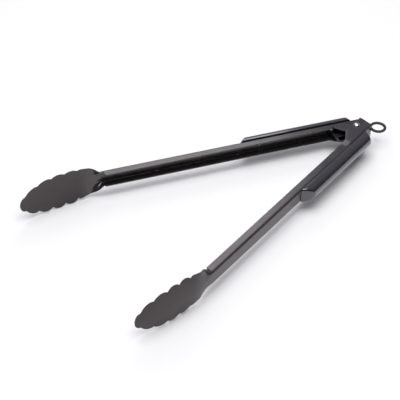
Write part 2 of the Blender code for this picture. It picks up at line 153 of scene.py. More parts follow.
def angle(name, description, degrees):
    turn = math.radians(degrees)
    return FloatProperty(name=name, description=description, default=turn, subtype="ANGLE", unit="ROTATION")


class TongsArmSettings(bpy.types.PropertyGroup):
    open_angle: angle("Open angle", "Angle between the two arms at rest", 33.6)
    reach: length("Reach", "Pivot axis to tip", 0.3994)
    sheet: length("Sheet", "Thickness of the folded steel", 0.0012)
    half_height: length("Half height", "Half the channel's outside height", 0.00835)
    channel_depth: length("Channel depth", "Web face to the flanges' free edges", 0.0097)
    bend_radius: length("Bend radius", "Outside radius of the folds", 0.0024)
    web_face: length("Web face", "Centre line to the web's outer face", 0.0133)


class TongsHeadSettings(bpy.types.PropertyGroup):
    lobe_rise: length("Lobe rise", "Height of each scallop over the line between its cusps", 0.0033)
    curl_start: length("Curl start", "Distance from the pivot where the head starts to curl in", 0.294)
    curl_radius: length("Curl radius", "Radius of the curl towards the other head", 0.263)
    dish_start: angle("Dish at neck", "How far the head's edges turn in at the neck", 20)
    dish_end: angle("Dish at tip", "How far the head's edges turn in at the tip", 13)


class TongsGripSettings(bpy.types.PropertyGroup):
    start: length("Start", "Distance from the pivot to the grip's upper end", 0.0015)
    end: length("End", "Distance from the pivot to the grip's lower end", 0.1385)
    half_height: length("Half height", "Half the grip's width across the web", 0.0094)
    side: length("Side", "Height of the straight side before the crown", 0.0020)
    crown: length("Crown", "Height of the half round crown", 0.0092)
    end_round: length("End round", "Radius of the edge round each end", 0.0032)
    rivet: length("Rivet radius", "Shank radius of the rivets that hold the grip", 0.0015)
    rivet_head: length("Rivet head", "Head radius of the rivets that hold the grip", 0.0030)


class TongsPivotSettings(bpy.types.PropertyGroup):
    rivet: length("Rivet radius", "Shank radius of the pivot rivet", 0.0020)
    head: length("Head radius", "Radius of the rivet's domed head", 0.0038)
    head_rise: length("Head rise", "Height of the domed head", 0.0020)
    wire: length("Wire", "Diameter of the spring wire", 0.0014)
    coil: length("Coil radius", "Middle radius of the spring's coil", 0.0046)
    pitch: length("Pitch", "Rise of the coil for each turn", 0.0015)
    leg: length("Leg end", "How far the spring's legs reach along the webs", 0.0195)


class TongsLockSettings(bpy.types.PropertyGroup):
    sheet: length("Sheet", "Thickness of the lock slide", 0.0010)
    travel: length("Travel", "How far the ring pulls the slide", 0.008)
    ring_centre: length("Ring centre", "Pivot axis to the middle of the ring", 0.0284)
    ring_outer: length("Ring radius", "Outside radius of the pull ring", 0.0099)
    ring_band: length("Ring band", "Width of the ring's band", 0.0031)
    ring_half: length("Ring half thickness", "Half the ring's thickness", 0.0012)


class TongsFinishSettings(bpy.types.PropertyGroup):
    coating: colour("Coating", "Thin non-stick coating on the steel arms", "#555253")
    coating_roughness: amount("Coating roughness", "Roughness of the coating on the arms", 0.24)
    matte_coating: colour("Matte coating", "Thicker sprayed coating on the heads", "#464143")
    matte_roughness: amount("Matte roughness", "Roughness of the coating on the heads", 0.43)
    matte_start: length("Matte start", "Distance from the pivot where the thicker coat begins", 0.312)
    matte_end: length("Matte end", "Distance from the pivot where the thicker coat is full", 0.332)
    grip: colour("Grip", "Soft moulded grip", "#232126")
    grip_roughness: amount("Grip roughness", "Roughness of the grip", 0.18)
    rivet: colour("Rivet", "Polished stainless rivet", "#d2d2d4")
    wire: colour("Wire", "Drawn spring wire", "#a9a9ab")
    nylon: colour("Nylon", "Moulded nylon spacers and carriers", "#26262a")
    ring: colour("Ring", "Moulded pull ring", "#1d1d1f")
    slide: colour("Slide", "Blackened steel slide", "#55555a")


class TongsStageSettings(bpy.types.PropertyGroup):
    floor: colour("Floor", "Plain pale floor", "#f7f7f7")
    lens: number("Lens", "Focal length in millimetres", 113.7)
    azimuth: angle("Azimuth", "Turn of the camera about the upright axis", -38.375)
    elevation: angle("Elevation", "Height of the camera above the floor's plane", 39.798)
    roll: angle("Roll", "Turn of the camera about its own view", 2.099)
    distance: length("Distance", "Camera to the point it looks at", 1.35939)
    softbox: number("Softbox", "Power of the overhead softbox in watts", 43.0)
    rear_light: number("Rear light", "Power of the rear softbox in watts", 1.1)
    sky: number("Room light", "Strength of the room light", 1.0)
    wall: colour("Wall", "The dim side of the room, behind the camera", "#3c3a3c")
    ceiling: colour("Ceiling", "The bright side of the room, behind the tongs", "#9c9ba6")


GROUPS = {
    "tongs_arm": TongsArmSettings,
    "tongs_head": TongsHeadSettings,
    "tongs_grip": TongsGripSettings,
    "tongs_pivot": TongsPivotSettings,
    "tongs_lock": TongsLockSettings,
    "tongs_finish": TongsFinishSettings,
    "tongs_stage": TongsStageSettings,
}


def options(name):
    """The scene's settings for one assembly."""
    return getattr(bpy.context.scene, "tongs_" + name)


# --- Meshes -------------------------------------------------------------------------------------


def smooth(value):
    """Smooth step: 3 t squared less 2 t cubed, with t held between 0 and 1."""
    t = np.clip(value, 0.0, 1.0)
    return t * t * (3 - 2 * t)


def share(x, span):
    """How far x is through the span, from 0 to 1."""
    return np.clip((x - span[0]) / (span[1] - span[0]), 0, 1)


def to_world(points, side):
    """Arm coordinates to the frame: out is y on the near side and minus y on the far side, then the
    arm is turned by half a turn plus or minus half the open angle and moved to the pivot."""
    turn = math.pi + side * options("arm").open_angle / 2
    x, y, z = points[..., 0], side * points[..., 1], points[..., 2]
    turned = (x * math.cos(turn) - y * math.sin(turn), x * math.sin(turn) + y * math.cos(turn), z)
    return np.stack(np.broadcast_arrays(*turned), axis=-1) + PIVOT


def on_arm(side):
    """Places points given in one arm's coordinates."""
    return lambda points: to_world(points, side)


def grid_faces(index, wrap_rows=False, wrap_columns=False):
    """Quads between neighbouring entries of a grid of vertex numbers, closed where it wraps."""
    if wrap_rows:
        index = np.concatenate([index, index[:1]])
    if wrap_columns:
        index = np.concatenate([index, index[:, :1]], axis=1)
    corners = (index[:-1, :-1], index[1:, :-1], index[1:, 1:], index[:-1, 1:])
    return np.stack(corners, axis=-1).reshape(-1, 4)


def fan_faces(ring, centre):
    """Triangles from a closed ring of vertex numbers to one centre vertex."""
    return np.stack([ring, np.roll(ring, -1), np.full_like(ring, centre)], axis=-1)


def mesh_from(name, points, quads, triangles=()):
    mesh = bpy.data.meshes.new(name)
    faces = np.asarray(quads).tolist() + np.asarray(triangles).tolist()
    mesh.from_pydata(np.asarray(points, float).reshape(-1, 3).tolist(), [], faces)
    return mesh


def face_outwards(mesh):
    work = bmesh.new()
    work.from_mesh(mesh)
    bmesh.ops.dissolve_degenerate(work, dist=1e-7, edges=work.edges)
    bmesh.ops.recalc_face_normals(work, faces=work.faces)
    work.to_mesh(mesh)
    work.free()


def tube_rings(rings, closed):
    """Quads and triangles over rings[row, around]. Closed rings join the last row to the first,
    and open ones are shut at both ends by a point at the end ring's middle."""
    rows, around = rings.shape[:2]
    index = np.arange(rows * around).reshape(rows, around)
    points = rings.reshape(-1, 3)
    quads = grid_faces(index, wrap_rows=closed, wrap_columns=True)
    if closed:
        return points, quads, ()
    points = np.concatenate([points, rings[0].mean(axis=0)[None], rings[-1].mean(axis=0)[None]])
    ends = [fan_faces(index[0][::-1], rows * around), fan_faces(index[-1], rows * around + 1)]
    return points, quads, np.concatenate(ends)


def tube_mesh(name, rings, place, closed=False):
    points, quads, triangles = tube_rings(rings, closed)
    mesh = mesh_from(name, place(points), quads, triangles)
    face_outwards(mesh)
    return mesh


def lathe_rings(profile, count):
    """A profile of (radius, height) turned about z: (r cos a, r sin a, h) for a from 0 to a full turn."""
    profile = np.asarray(profile, float)
    angle = np.linspace(0, 2 * math.pi, count, endpoint=False)
    r, h = profile[:, :1], profile[:, 1:]
    return np.stack(np.broadcast_arrays(r * np.cos(angle), r * np.sin(angle), h), axis=-1)


def prism_mesh(name, outline, low, high, place):
    """A flat outline of (x, y) points carried upright from low to high, then placed."""
    outline = np.asarray(outline, float)
    count = len(outline)
    levels = [np.column_stack([outline, np.full(count, z)]) for z in (low, high)]
    index = np.arange(2 * count).reshape(2, count)
    quads = grid_faces(index, wrap_columns=True)
    mesh = bpy.data.meshes.new(name)
    faces = quads.tolist() + [index[0][::-1].tolist(), index[1].tolist()]
    mesh.from_pydata(place(np.stack(levels)).reshape(-1, 3).tolist(), [], faces)
    face_outwards(mesh)
    return mesh


def box_outline(low, high):
    return [(low[0], low[1]), (high[0], low[1]), (high[0], high[1]), (low[0], high[1])]


def arc(centre, radius, start, end, count):
    """Points on a circle from one angle to another, in degrees."""
    angle = np.radians(np.linspace(start, end, count))
    return np.column_stack([centre[0] + radius * np.cos(angle), centre[1] + radius * np.sin(angle)])


def joined(meshes):
    """One mesh that holds several separate closed bodies."""
    work = bmesh.new()
    for mesh in meshes:
        work.from_mesh(mesh)
        bpy.data.meshes.remove(mesh)
    result = bpy.data.meshes.new("joined")
    work.to_mesh(result)
    work.free()
    return result


def cut(mesh, tool, operation="DIFFERENCE"):
    """The mesh after one exact Boolean with the tool mesh."""
    body = bpy.data.objects.new("cut_body", mesh)
    knife = bpy.data.objects.new("cut_tool", tool)
    for obj in (body, knife):
        bpy.context.scene.collection.objects.link(obj)
    modifier = body.modifiers.new("cut", "BOOLEAN")
    modifier.operation = operation
    modifier.solver = "EXACT"
    modifier.object = knife
    bpy.context.view_layer.update()
    graph = bpy.context.evaluated_depsgraph_get()
    result = bpy.data.meshes.new_from_object(body.evaluated_get(graph))
    for obj in (body, knife):
        used = obj.data
        bpy.data.objects.remove(obj)
        bpy.data.meshes.remove(used)
    return result


def add_piece(node, mesh, material, bevel=0.0):
    """The finished piece for a CAD node: smooth faces with sharp creases."""
    name = node + "_fine"
    mesh.name = name
    face_outwards(mesh)
    mesh.shade_smooth()
    mesh.set_sharp_from_angle(angle=CREASE)
    mesh.materials.clear()
    mesh.materials.append(material)
    piece = bpy.data.objects.new(name, mesh)
    bpy.context.scene.collection.objects.link(piece)
    if bevel:
        rounding = piece.modifiers.new("rounded_edges", "BEVEL")
        rounding.width = bevel
        rounding.segments = 3
        rounding.limit_method = "ANGLE"
        rounding.angle_limit = CREASE
        rounding.harden_normals = True
    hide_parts(node)
    return piece


def body_of(node):
    groups = frame["record"]["behaviour"]["bodies"]
    return next(body for body, members in groups.items() if node in members)


def add_rigid(node, mesh, material, bevel=0.0):
    """A finished piece that rides on its node's body."""
    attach(add_piece(node, mesh, material, bevel), body_of(node))


# --- Finishes -----------------------------------------------------------------------------------


def linear(code):
    """An sRGB hex colour as linear RGBA: c / 12.92 when dark, else ((c + 0.055) / 1.055) ** 2.4."""
    parts = [int(code[i : i + 2], 16) / 255 for i in (1, 3, 5)]
    return tuple(c / 12.92 if c <= 0.04045 else ((c + 0.055) / 1.055) ** 2.4 for c in parts) + (1.0,)


def shade(code, factor):
    r, g, b, alpha = linear(code)
    return (r * factor, g * factor, b * factor, alpha)


def add_node(tree, kind, settings=None, **inputs):
    """Adds a node. Settings are its own properties, and each input is a value or a socket to link."""
    node = tree.nodes.new(kind)
    for key, value in (settings or {}).items():
        setattr(node, key, value)
    for key, value in inputs.items():
        name = key.replace("_", " ")
        socket = node.inputs[int(key[1:])] if key[0] == "i" and key[1:].isdigit() else node.inputs[name]
        if isinstance(value, bpy.types.NodeSocket):
            tree.links.new(value, socket)
        else:
            socket.default_value = value
    return node


def ramp(tree, factor, stops):
    """A colour ramp with its stops as (position, linear RGBA)."""
    node = add_node(tree, "ShaderNodeValToRGB", i0=factor)
    points = node.color_ramp.elements
    while len(points) < len(stops):
        points.new(0.5)
    for point, (position, value) in zip(points, stops):
        point.position = position
        point.color = value
    return node.outputs["Color"]


def new_material(name, **values):
    """A material with its tree and its shader, whose plain inputs are set from the values."""
    material = bpy.data.materials.new(name)
    material.use_nodes = True
    tree = material.node_tree
    shader = tree.nodes["Principled BSDF"]
    for key, value in values.items():
        shader.inputs[key.replace("_", " ")].default_value = value
    return material, tree, shader


def coordinates(tree, turn=0.0, centre=(0, 0, 0), scale=(1, 1, 1)):
    """Object coordinates with the pattern centred, turned and scaled."""
    source = add_node(tree, "ShaderNodeTexCoord").outputs["Object"]
    mapping = add_node(
        tree, "ShaderNodeMapping", {"vector_type": "TEXTURE"},
        Vector=source, Location=centre, Rotation=(0, 0, turn), Scale=scale,
    )
    return mapping.outputs["Vector"]


def noise(tree, vector, size, detail=2.0, roughness=0.5):
    """Noise whose blobs are about size metres across."""
    node = add_node(
        tree, "ShaderNodeTexNoise", None, Vector=vector, Scale=1 / size, Detail=detail, Roughness=roughness
    )
    return node.outputs["Fac"]


def map_range(tree, value, before, after, kind="LINEAR"):
    """Carries the range before onto the range after, held at both ends."""
    settings = {"interpolation_type": kind}
    (i1, i2), (i3, i4) = before, after
    node = add_node(tree, "ShaderNodeMapRange", settings, i0=value, i1=i1, i2=i2, i3=i3, i4=i4)
    return node.outputs["Result"]


def to_range(tree, value, low, high):
    """Carries 0.3 to 0.7, where noise mostly lies, onto low to high."""
    return map_range(tree, value, (0.3, 0.7), (low, high))


def bump(tree, height, depth, strength=1.0, normal=None):
    """Bump with the height's full range worth depth metres."""
    inputs = {"Height": height, "Distance": depth, "Strength": strength}
    if normal is not None:
        inputs["Normal"] = normal
    return add_node(tree, "ShaderNodeBump", None, **inputs).outputs["Normal"]


def link_finish(tree, shader, tone, tones, rough, relief):
    """Links a finish: the noise spread over the two tones and the two roughnesses, and the relief."""
    stops = [(0.0, tones[0]), (1.0, tones[1])]
    tree.links.new(ramp(tree, to_range(tree, tone, 0.0, 1.0), stops), shader.inputs["Base Color"])
    tree.links.new(to_range(tree, tone, *rough), shader.inputs["Roughness"])
    tree.links.new(relief, shader.inputs["Normal"])


def coated_steel(name, turn):
    """Steel sheet under a baked non-stick coating. On the arms the eye sees a dark metallic sheen with
    faint lines from rolling. From the neck on, the sprayed coat is thicker and reads as a matte grey."""
    finish = options("finish")
    material, tree, shader = new_material(name)
    plain = coordinates(tree)
    from_pivot = coordinates(tree, turn, tuple(PIVOT))
    distance = add_node(tree, "ShaderNodeSeparateXYZ", None, Vector=from_pivot).outputs["X"]
    head = map_range(tree, distance, (finish.matte_start, finish.matte_end), (0.0, 1.0), "SMOOTHSTEP")
    # Rolling lines drawn 0.9 mm apart, coarser than real ones so that they show.
    lines = noise(tree, coordinates(tree, turn, tuple(PIVOT), (12, 1, 1)), 0.0009, 3.0, 0.6)
    # Sprayed grain of 0.5 mm, and cloudy patches of 18 mm from the spray's overlap.
    grain = noise(tree, plain, 0.0005, 2.0, 0.6)
    patches = noise(tree, plain, 0.018, 2.0, 0.5)
    streaks = add_node(tree, "ShaderNodeMath", {"operation": "MULTIPLY_ADD"}, i0=lines, i1=0.55, i2=patches)
    tone = to_range(tree, streaks.outputs["Value"], 0.0, 1.0)
    tones = [
        ramp(tree, tone, [(0.0, shade(code, 0.88)), (1.0, shade(code, 1.12))])
        for code in (finish.coating, finish.matte_coating)
    ]
    blend = add_node(tree, "ShaderNodeMix", {"data_type": "RGBA"}, i0=head, i6=tones[0], i7=tones[1])
    tree.links.new(blend.outputs[2], shader.inputs["Base Color"])
    arm, matte = finish.coating_roughness, finish.matte_roughness
    rough = [to_range(tree, patches, value - 0.03, value + 0.04) for value in (arm, matte)]
    gloss = add_node(tree, "ShaderNodeMix", None, i0=head, i2=rough[0], i3=rough[1])
    tree.links.new(gloss.outputs[0], shader.inputs["Roughness"])
    tree.links.new(map_range(tree, head, (0.0, 1.0), (0.8, 0.5)), shader.inputs["Metallic"])
    relief = bump(tree, grain, 0.00003, 0.3)
    tree.links.new(bump(tree, lines, 0.00001, 0.25, relief), shader.inputs["Normal"])
    return material


def noise_finish(
    name, code, shades, blotch, rough, grain, relief, centre=(0, 0, 0), drawn=(1, 1, 1), **values
):
    """A finish of two noises, each given as size, detail and roughness. The blotches carry the colour
    between its shades and the gloss between its roughnesses. The grain, drawn out along the axes, is
    the relief, given as depth and strength."""
    material, tree, shader = new_material(name, **values)
    tone = noise(tree, coordinates(tree, 0.0, centre), *blotch)
    height = noise(tree, coordinates(tree, 0.0, centre, drawn), *grain)
    tones = [shade(code, factor) for factor in shades]
    link_finish(tree, shader, tone, tones, rough, bump(tree, height, *relief))
    return material


def soft_grip(name):
    """Moulded thermoplastic rubber with a smooth, slightly oily skin. The eye sees a dark purple grey
    with broad soft reflections, a faint moulded grain and small smears in the gloss."""
    finish = options("finish")
    rough = finish.grip_roughness
    # Smears of 9 mm, moulded grain of 0.6 mm.
    return noise_finish(
        name, finish.grip, (0.9, 1.1), blotch=(0.009, 3.0, 0.55), rough=(rough - 0.03, rough + 0.04),
        grain=(0.0006, 2.0, 0.5), relief=(0.00001, 0.1),
        IOR=1.52, Specular_IOR_Level=0.8, Coat_Weight=0.7, Coat_Roughness=0.08, Coat_IOR=1.6,
    )


def polished_rivet(name, centre):
    """Stainless rivet steel, upset and tumbled. The eye sees a bright dome with faint turned rings."""
    finish = options("finish")
    material, tree, shader = new_material(name, Metallic=1.0)
    middle = coordinates(tree, 0.0, tuple(centre))
    # Turned rings 0.25 mm apart.
    rings = add_node(
        tree, "ShaderNodeTexWave", {"wave_type": "RINGS", "rings_direction": "Z"},
        Vector=middle, Scale=1 / 0.0016, Distortion=0.6, Detail=1.0,
    ).outputs["Fac"]
    scratches = noise(tree, middle, 0.0006, 4.0, 0.7)
    tones = shade(finish.rivet, 0.88), shade(finish.rivet, 1.0)
    link_finish(tree, shader, scratches, tones, (0.16, 0.28), bump(tree, rings, 0.00001, 0.25))
    return material


def drawn_wire(name):
    """Hard drawn spring wire. The eye sees bright grey steel with fine die lines and darker spots of
    drawing soap."""
    # Spots of 1.2 mm, die lines 0.2 mm apart.
    return noise_finish(
        name, options("finish").wire, (0.7, 1.0), blotch=(0.0012, 3.0, 0.6), rough=(0.24, 0.36),
        grain=(0.0002, 2.0, 0.5), relief=(0.00001, 0.3), centre=tuple(PIVOT), drawn=(8, 8, 1), Metallic=1.0,
    )


def moulded_plastic(name, code, rough, grain_size):
    """Injection moulded nylon. The eye sees a near black, low gloss skin with the tool's spark grain
    and slow changes of gloss where the melt flowed."""
    # Flow marks of 6 mm.
    return noise_finish(
        name, code, (0.85, 1.15), blotch=(0.006, 2.0, 0.5), rough=(rough - 0.05, rough + 0.06),
        grain=(grain_size, 2.0, 0.6), relief=(0.00003, 0.4), IOR=1.53,
    )


def blackened_steel(name):
    """Stamped steel, blackened and oiled. The eye sees a dark grey metal with rubbed, brighter patches."""
    # Rubbed patches of 3 mm, grain of 0.2 mm.
    return noise_finish(
        name, options("finish").slide, (0.6, 1.2), blotch=(0.003, 4.0, 0.6), rough=(0.42, 0.30),
        grain=(0.0002, 2.0, 0.5), relief=(0.00001, 0.3), Metallic=0.9,
    )


# --- Arms ---------------------------------------------------------------------------------------


def joggle(x, name):
    """How far the near arm's plates stand out so that they close over the far arm's."""
    arm = options("arm")
    lift = {"far": 0.0, "near": arm.sheet + PLATE_CLEARANCE}[name]
    return lift * (1 - smooth(share(x, JOGGLE_SPAN)))


def lobe(x, start, end, rise):
    """Half width along one lobe: the chord between two cusps plus a circular arc's height."""
    (x0, w0), (x1, w1) = start, end
    chord = x1 - x0
    radius = chord * chord / (8 * rise) + rise / 2
    along = x - x0
    arc_height = np.sqrt(np.maximum(radius**2 - (along - chord / 2) ** 2, 0)) - (radius - rise)
    return w0 + (w1 - w0) * along / chord + arc_height


def shoulder(x, start):
    """Half width from the channel's end: a straight edge, then a quarter ellipse into the first cusp."""
    cusp_x, cusp_half = CUSPS[0]
    reach, rise = SHOULDER_ROUND
    straight = start + (cusp_half + rise - start) * share(x, (CHANNEL_END, cusp_x))
    return straight - rise * (1 - np.sqrt(1 - share(x, (cusp_x - reach, cusp_x)) ** 2))


def flat_half_width(x, name):
    """Half width of the sheet laid flat: plates, channel, shoulder, lobes and a quarter ellipse tip."""
    arm = options("arm")
    straight = arm.half_height - arm.bend_radius
    bend = (arm.bend_radius - arm.sheet / 2) * math.pi / 2
    channel = straight + bend + arm.channel_depth - arm.bend_radius
    plate = straight + bend + PLATE_DEPTH - arm.bend_radius
    width = np.full_like(x, channel)
    width += (plate - channel) * (1 - share(x, (PLATE_FULL, PLATE_START)))
    corner = PLATE_CORNER[name]
    into_corner = np.clip(REAR_END + corner - x, 0, corner)
    width -= corner - np.sqrt(corner**2 - into_corner**2)
    width += joggle(x, name)
    width = np.where(x > CHANNEL_END, shoulder(x, channel - FLANGE_STEP), width)
    for start, end in zip(CUSPS, CUSPS[1:]):
        width = np.where(x > start[0], lobe(x, start, end, options("head").lobe_rise), width)
    tip_start, tip_half = CUSPS[-1]
    along = share(x, (tip_start, arm.reach))
    return np.where(x > tip_start, np.maximum(tip_half * np.sqrt(1 - along**2), TIP_WIDTH), width)


def arm_stations():
    """Distances from the pivot for the rows: close together at the rear edge, the joggle, the cusps
    and the tip, where they follow the sine of equal angles."""
    arm = options("arm")
    rim = arm.sheet * RIM_SHARE
    rear = REAR_END + rim * (1 - np.cos(np.linspace(0, math.pi / 2, 7)))[:-1]
    rounded = REAR_END + PLATE_CORNER["far"]
    spans = [(REAR_END + rim, rounded, 8), (rounded, PLATE_FULL, 8), (PLATE_FULL, JOGGLE_SPAN[0], 6)]
    spans += [(JOGGLE_SPAN[0], PLATE_START, 2), (PLATE_START, JOGGLE_SPAN[1], 10)]
    spans += [(JOGGLE_SPAN[1], CHANNEL_END - 0.0001, 26)]
    edges = [CHANNEL_END] + [cusp[0] for cusp in CUSPS]
    spans += [(a, b, 26 if a == CHANNEL_END else 16) for a, b in zip(edges, edges[1:])]
    parts = [np.linspace(a, b, count, endpoint=False) for a, b, count in spans]
    turn = np.linspace(0, math.pi / 2, 18)
    tip = CUSPS[-1][0] + (arm.reach - CUSPS[-1][0]) * np.sin(turn)
    return np.concatenate([rear] + parts + [tip])


def across_positions(x, half, name):
    """Distances across the sheet for the columns, on one side of its middle: over the web, round the
    bend, over the flange, and closer and closer together over the rounded rim."""
    arm = options("arm")
    opened = smooth(share(x, (CHANNEL_END, UNFOLDED)))
    straight = arm.half_height - arm.bend_radius + joggle(x, name)
    bend = (arm.bend_radius - arm.sheet / 2) * math.pi / 2
    rim = np.minimum(arm.sheet * RIM_SHARE, half * 0.2)
    knots = [np.zeros_like(x), straight * (1 - opened) + 0.36 * half * opened]
    knots += [(straight + bend) * (1 - opened) + 0.7 * half * opened, half - rim]
    columns = [knots[0]]
    for low, high, count in zip(knots, knots[1:], (7, 10, 8)):
        columns += [low + (high - low) * step / count for step in range(1, count + 1)]
    angles = np.linspace(0, math.pi / 2, 7)[1:]
    columns += [half - rim * (1 - math.sin(angle)) for angle in angles]
    return np.concatenate(columns, axis=1)


def arm_surface(name, stations):
    """Middle surface of an arm's sheet, as points[station, across] of (x, out, z), and each point's
    distance to the sheet's nearest edge.

    Across the sheet the direction turns by the fold angle between the start and the end of the
    bend, so a short bend gives the channel's corner and a bend over the whole width the dish.
    """
    arm, head = options("arm"), options("head")
    x = stations[:, None]
    flat_half = flat_half_width(stations, name)
    half = flat_half[:, None]
    slope = np.gradient(flat_half, stations)[:, None]
    opened = smooth(share(x, (CHANNEL_END, UNFOLDED)))
    fold = math.pi / 2 + (head.dish_start - math.pi / 2) * opened
    fold += (head.dish_end - head.dish_start) * smooth(share(x, HEAD_FOLD_SPAN))
    spread = HEAD_SPREAD * np.sqrt(np.clip(1 - share(x, SPREAD_NARROWS) ** 2, 0.01, 1))
    straight = arm.half_height - arm.bend_radius + joggle(x, name)
    bend = (arm.bend_radius - arm.sheet / 2) * math.pi / 2
    bend_start = straight * (1 - opened)
    bend_end = (straight + bend) * (1 - opened) + spread * opened
    s = across_positions(x, half, name)
    turn_rate = fold / (bend_end - bend_start)
    in_bend = np.clip(s - bend_start, 0, bend_end - bend_start)
    past = np.maximum(s - bend_end, 0)
    z = np.minimum(s, bend_start) + np.sin(turn_rate * in_bend) / turn_rate + past * np.cos(fold)
    depth = (1 - np.cos(turn_rate * in_bend)) / turn_rate + past * np.sin(fold)
    curl = np.clip(x - head.curl_start, 0, None)
    drop = head.curl_radius - np.sqrt(head.curl_radius**2 - curl**2)
    out = arm.web_face - arm.sheet / 2 - drop - depth
    slant = REAR_SLANT * depth / PLATE_DEPTH * np.clip(x / REAR_END, 0, 1)
    to_edge = np.minimum((half - s) / np.sqrt(1 + np.minimum(slope**2, 40)), x - REAR_END)
    half_side = np.stack([x - slant, out, z], axis=-1)
    other_side = half_side[:, :0:-1] * (1, 1, -1)
    distance = np.concatenate([to_edge[:, :0:-1], to_edge], axis=1)
    return np.concatenate([other_side, half_side], axis=1), distance


def sheet_mesh(name, surface, to_edge, side):
    """The sheet as a closed solid. Each side is the surface moved along its normal by half the
    thickness, which falls to nothing along a quarter circle at the rim, so the two sides meet there."""
    arm = options("arm")
    normal = np.cross(np.gradient(surface, axis=1), np.gradient(surface, axis=0))
    normal /= np.linalg.norm(normal, axis=-1, keepdims=True)
    rim = arm.sheet * RIM_SHARE
    inside = np.clip(to_edge / rim, 0, 1)
    half = arm.sheet / 2 * np.sqrt(np.maximum(1 - (1 - inside) ** 2, 0))[..., None]
    rows, columns = surface.shape[:2]
    edge = np.zeros((rows, columns), bool)
    edge[[0, -1]] = True
    edge[:, [0, -1]] = True
    half[edge] = 0
    upper = np.arange(rows * columns).reshape(rows, columns)
    lower = np.where(edge, upper, rows * columns + upper)
    points = np.concatenate([surface + normal * half, surface - normal * half]).reshape(-1, 3)
    quads = np.concatenate([grid_faces(upper), grid_faces(lower)[:, ::-1]])
    used, renumbered = np.unique(quads, return_inverse=True)
    mesh = mesh_from(name, to_world(points[used], side), renumbered.reshape(quads.shape))
    face_outwards(mesh)
    return mesh


def round_tool(radius, reach, centre, side, about_out=False):
    """A round cutter, upright or along the arm's out direction, about a point in arm coordinates."""
    rings = lathe_rings([(radius, -reach), (radius, reach)], 48)
    if about_out:
        rings = rings[..., (0, 2, 1)]
    return tube_mesh("round_tool", rings + np.asarray(centre, float), on_arm(side))


def arm_openings(name, side):
    """Cutters for the pivot holes, the grip rivets' holes, the lanced window and the far arm's notch."""
    arm, pivot = options("arm"), options("pivot")
    tools = [round_tool(pivot.rivet + GAP, 2 * arm.half_height, (0, 0, 0), side)]
    for x in GRIP_RIVETS.values():
        radius = options("grip").rivet + GAP
        tools.append(round_tool(radius, CUTTER_REACH, (x, arm.web_face, 0), side, about_out=True))
    low = (TONGUE_SPAN[0] + arm.sheet + GAP, arm.web_face - CUTTER_REACH)
    high = (TONGUE_SPAN[1] + GAP, arm.web_face + CUTTER_REACH)
    place = on_arm(side)
    tools.append(prism_mesh("window", box_outline(low, high), *TONGUE_HEIGHT, place))
    if name == "far":
        tools.append(prism_mesh("notch", NOTCH, arm.half_height / 2, 2 * arm.half_height, place))
    return joined(tools)


def tongue_mesh(side):
    """The lock tongue: lanced from the web, stepping inward and then forward."""
    arm = options("arm")
    start, end = TONGUE_SPAN
    inside = arm.web_face - arm.sheet / 2
    outline = [(start, inside), (start, TONGUE_OUT), (end, TONGUE_OUT), (end, TONGUE_OUT + arm.sheet)]
    outline += [(start + arm.sheet, TONGUE_OUT + arm.sheet), (start + arm.sheet, inside)]
    return prism_mesh("tongue", outline, *TONGUE_HEIGHT, on_arm(side))


class TongsBuildArms(bpy.types.Operator):
    """Builds both folded steel arms with their channels, dished scalloped heads and pivot plates"""

    bl_idname = "tongs.build_arms"
    bl_label = "Arms"

    def execute(self, context):
        for name, side in SIDES.items():
            surface, to_edge = arm_surface(name, arm_stations())
            mesh = sheet_mesh(name + "_sheet", surface, to_edge, side)
            mesh = cut(mesh, arm_openings(name, side))
            mesh = cut(mesh, tongue_mesh(side), "UNION")
            turn = math.pi + side * options("arm").open_angle / 2
            add_rigid(name + "_arm", mesh, coated_steel(name + "_nonstick_coated_steel", turn))
        return {"FINISHED"}


# --- Grips --------------------------------------------------------------------------------------


def grip_ring():
    """Half round section of the grip as (height over the web, z): the flat base, the straight sides,
    and half an ellipse for the crown."""
    grip = options("grip")
    base = np.column_stack([np.zeros(15), np.linspace(grip.half_height, -grip.half_height, 15)])
    up_side = np.column_stack([np.linspace(0, grip.side, 5)[1:-1], np.full(3, -grip.half_height)])
    angle = np.linspace(-math.pi / 2, math.pi / 2, 49)
    crown = np.column_stack([grip.side + grip.crown * np.cos(angle), grip.half_height * np.sin(angle)])
    down_side = up_side[::-1] * (1, -1)
    return np.concatenate([base, up_side, crown, down_side])


def grip_rows():
    """For each row along the grip: its place before the slope of the ends, the slope there, and how
    much of the section's size is left. The ends are rounded by quarter circles and closed flat."""
    grip = options("grip")
    angle = np.linspace(0, math.pi / 2, 11)
    pull = grip.end_round * (1 - np.sin(angle))
    inset = grip.end_round * (1 - np.cos(angle))
    cap = np.linspace(1, 0.02, 9)[1:]
    lengths = np.concatenate([pull, np.zeros(8)])
    insets = np.concatenate([inset, np.full(8, grip.end_round)])
    caps = np.concatenate([np.ones(11), cap])
    middle = np.linspace(grip.start + grip.end_round, grip.end - grip.end_round, 60)[1:-1]
    place = np.concatenate([grip.start + lengths[::-1], middle, grip.end - lengths])
    along = share(place, (grip.start, grip.end))
    slope = GRIP_END_SLOPES[0] + (GRIP_END_SLOPES[1] - GRIP_END_SLOPES[0]) * along
    keep = np.zeros(len(middle))
    inset = np.concatenate([insets[::-1], keep, insets])
    return place, slope, inset, np.concatenate([caps[::-1], keep + 1, caps])


def grip_mesh(name, side):
    """The grip: its section is drawn in by the inset, shrunk towards a point inside at the caps, and
    sheared along the arm by the row's slope times the height over the web."""
    grip = options("grip")
    base = options("arm").web_face + GAP
    place, slope, inset, cap = (values[:, None] for values in grip_rows())
    up, z = grip_ring().T
    up = up * (1 - inset / (grip.side + grip.crown))
    z = z * (1 - inset / grip.half_height)
    middle = CAP_CENTRE * (grip.side + grip.crown)
    up = middle + (up - middle) * cap
    z = z * cap
    rings = np.stack([place + slope * up, base + up, z], axis=-1)
    return tube_mesh(name, rings, on_arm(side))


